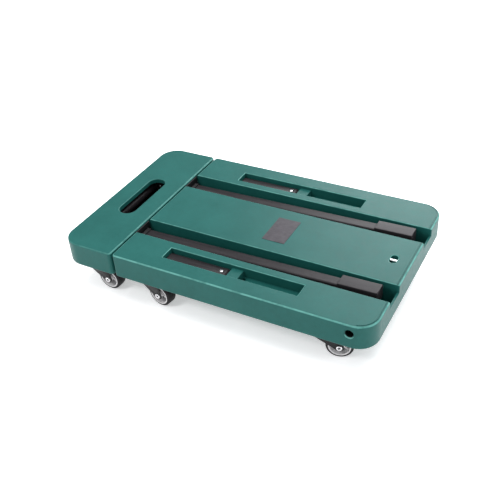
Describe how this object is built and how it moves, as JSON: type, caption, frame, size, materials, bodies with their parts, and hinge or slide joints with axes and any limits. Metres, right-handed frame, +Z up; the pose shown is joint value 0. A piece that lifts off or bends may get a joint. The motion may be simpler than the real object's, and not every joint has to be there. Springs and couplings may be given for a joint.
{
  "type": "folding platform trolley",
  "caption": "Low moulded platform trolley on six small swivel casters, with a telescopic pull handle that stows flush and two flip-up stop arms.",
  "frame": {"origin": "on the floor, under the centre of the stowed trolley's outline", "axes": "+X along the trolley towards the handle's hinge, +Y to the rear side, +Z up"},
  "size_m": [0.484, 0.3, 0.085],
  "materials": {
    "moulded_green": "fine spark-eroded teal green moulding",
    "black_steel": "satin black powder coat",
    "black_plastic": "black nylon",
    "label_dark": "plain dark grey plate",
    "bright_steel": "bright nickel plate",
    "zinc_steel": "bright zinc plate",
    "black_fork": "black lacquer over pressed steel",
    "hub_plastic": "light grey nylon",
    "tyre_rubber": "black rubber"
  },
  "bodies": {
    "deck": {"deck_shell": "moulded_green", "label_plate": "label_dark", "tie_pin": "bright_steel", "pivot_bolts": "zinc_steel", "pivot_nuts": "zinc_steel", "pivot_spacers": "black_plastic", "stop_arm_pins": "zinc_steel", "kingpins_deck": "zinc_steel", "caster_screws_deck": "zinc_steel", "caster_plate_mid_front": "black_fork", "caster_plate_mid_rear": "black_fork", "caster_plate_end_front": "black_fork", "caster_plate_end_rear": "black_fork"},
    "handle_base": {"hinge_sleeve_front": "black_steel", "hinge_sleeve_rear": "black_steel", "outer_tube_front": "black_steel", "outer_tube_rear": "black_steel", "tube_collars": "black_plastic", "sleeve_rivets": "zinc_steel"},
    "handle_head": {"head_shell": "moulded_green", "grip_bar": "black_steel", "grip_rivets": "bright_steel", "inner_tube_front": "black_steel", "inner_tube_rear": "black_steel", "slide_bushes": "black_plastic", "hand_tray": "black_plastic", "socket_plates": "black_plastic", "panel_screws": "zinc_steel", "kingpins_head": "zinc_steel", "caster_screws_head": "zinc_steel", "caster_plate_head_front": "black_fork", "caster_plate_head_rear": "black_fork"},
    "stop_arm_front": {"stop_arm_front": "black_steel", "stop_arm_rivet_front": "bright_steel"},
    "stop_arm_rear": {"stop_arm_rear": "black_steel", "stop_arm_rivet_rear": "bright_steel"},
    "fork_head_front": {"caster_fork_head_front": "black_fork", "wheel_axle_head_front": "bright_steel"},
    "wheel_head_front": {"wheel_hub_head_front": "hub_plastic", "wheel_tyre_head_front": "tyre_rubber"},
    "fork_head_rear": {"caster_fork_head_rear": "black_fork", "wheel_axle_head_rear": "bright_steel"},
    "wheel_head_rear": {"wheel_hub_head_rear": "hub_plastic", "wheel_tyre_head_rear": "tyre_rubber"},
    "fork_mid_front": {"caster_fork_mid_front": "black_fork", "wheel_axle_mid_front": "bright_steel"},
    "wheel_mid_front": {"wheel_hub_mid_front": "hub_plastic", "wheel_tyre_mid_front": "tyre_rubber"},
    "fork_mid_rear": {"caster_fork_mid_rear": "black_fork", "wheel_axle_mid_rear": "bright_steel"},
    "wheel_mid_rear": {"wheel_hub_mid_rear": "hub_plastic", "wheel_tyre_mid_rear": "tyre_rubber"},
    "fork_end_front": {"caster_fork_end_front": "black_fork", "wheel_axle_end_front": "bright_steel"},
    "wheel_end_front": {"wheel_hub_end_front": "hub_plastic", "wheel_tyre_end_front": "tyre_rubber"},
    "fork_end_rear": {"caster_fork_end_rear": "black_fork", "wheel_axle_end_rear": "bright_steel"},
    "wheel_end_rear": {"wheel_hub_end_rear": "hub_plastic", "wheel_tyre_end_rear": "tyre_rubber"}
  },
  "joints": [
    {"name": "handle_pivot", "type": "hinge", "parent": "deck", "child": "handle_base", "pos_m": [0.211, 0, 0.0695], "axis": [0, 1, 0], "range_deg": [0, 130]},
    {"name": "handle_slide", "type": "slide", "parent": "handle_base", "child": "handle_head", "axis": [-0.9998, 0, -0.0209], "range_m": [0, 0.25]},
    {"name": "stop_arm_front_fold", "type": "hinge", "parent": "deck", "child": "stop_arm_front", "pos_m": [0.0135, -0.112, 0.0725], "axis": [0, 1, 0], "range_deg": [0, 90]},
    {"name": "stop_arm_rear_fold", "type": "hinge", "parent": "deck", "child": "stop_arm_rear", "pos_m": [0.0135, 0.112, 0.0725], "axis": [0, 1, 0], "range_deg": [0, 90]},
    {"name": "swivel_head_front", "type": "hinge", "parent": "handle_head", "child": "fork_head_front", "pos_m": [-0.198, -0.123, 0.04], "axis": [0, 0, 1], "continuous": true},
    {"name": "roll_head_front", "type": "hinge", "parent": "fork_head_front", "child": "wheel_head_front", "pos_m": [-0.17801, -0.1237, 0.019], "axis": [0.0349, 0.9994, 0], "continuous": true},
    {"name": "swivel_head_rear", "type": "hinge", "parent": "handle_head", "child": "fork_head_rear", "pos_m": [-0.198, 0.123, 0.04], "axis": [0, 0, 1], "continuous": true},
    {"name": "roll_head_rear", "type": "hinge", "parent": "fork_head_rear", "child": "wheel_head_rear", "pos_m": [-0.17808, 0.12474, 0.019], "axis": [-0.0872, 0.9962, 0], "continuous": true},
    {"name": "swivel_mid_front", "type": "hinge", "parent": "deck", "child": "fork_mid_front", "pos_m": [-0.1065, -0.123, 0.04], "axis": [0, 0, 1], "continuous": true},
    {"name": "roll_mid_front", "type": "hinge", "parent": "fork_mid_front", "child": "wheel_mid_front", "pos_m": [-0.08669, -0.12578, 0.019], "axis": [0.1392, 0.9903, 0], "continuous": true},
    {"name": "swivel_mid_rear", "type": "hinge", "parent": "deck", "child": "fork_mid_rear", "pos_m": [-0.1065, 0.123, 0.04], "axis": [0, 0, 1], "continuous": true},
    {"name": "roll_mid_rear", "type": "hinge", "parent": "fork_mid_rear", "child": "wheel_mid_rear", "pos_m": [-0.08653, 0.12195, 0.019], "axis": [0.0523, 0.9986, 0], "continuous": true},
    {"name": "swivel_end_front", "type": "hinge", "parent": "deck", "child": "fork_end_front", "pos_m": [0.168, -0.123, 0.04], "axis": [0, 0, 1], "continuous": true},
    {"name": "roll_end_front", "type": "hinge", "parent": "fork_end_front", "child": "wheel_end_front", "pos_m": [0.18732, -0.11782, 0.019], "axis": [-0.2588, 0.9659, 0], "continuous": true},
    {"name": "swivel_end_rear", "type": "hinge", "parent": "deck", "child": "fork_end_rear", "pos_m": [0.168, 0.123, 0.04], "axis": [0, 0, 1], "continuous": true},
    {"name": "roll_end_rear", "type": "hinge", "parent": "fork_end_rear", "child": "wheel_end_rear", "pos_m": [0.18775, 0.12613, 0.019], "axis": [-0.1564, 0.9877, 0], "continuous": true}
  ]
}
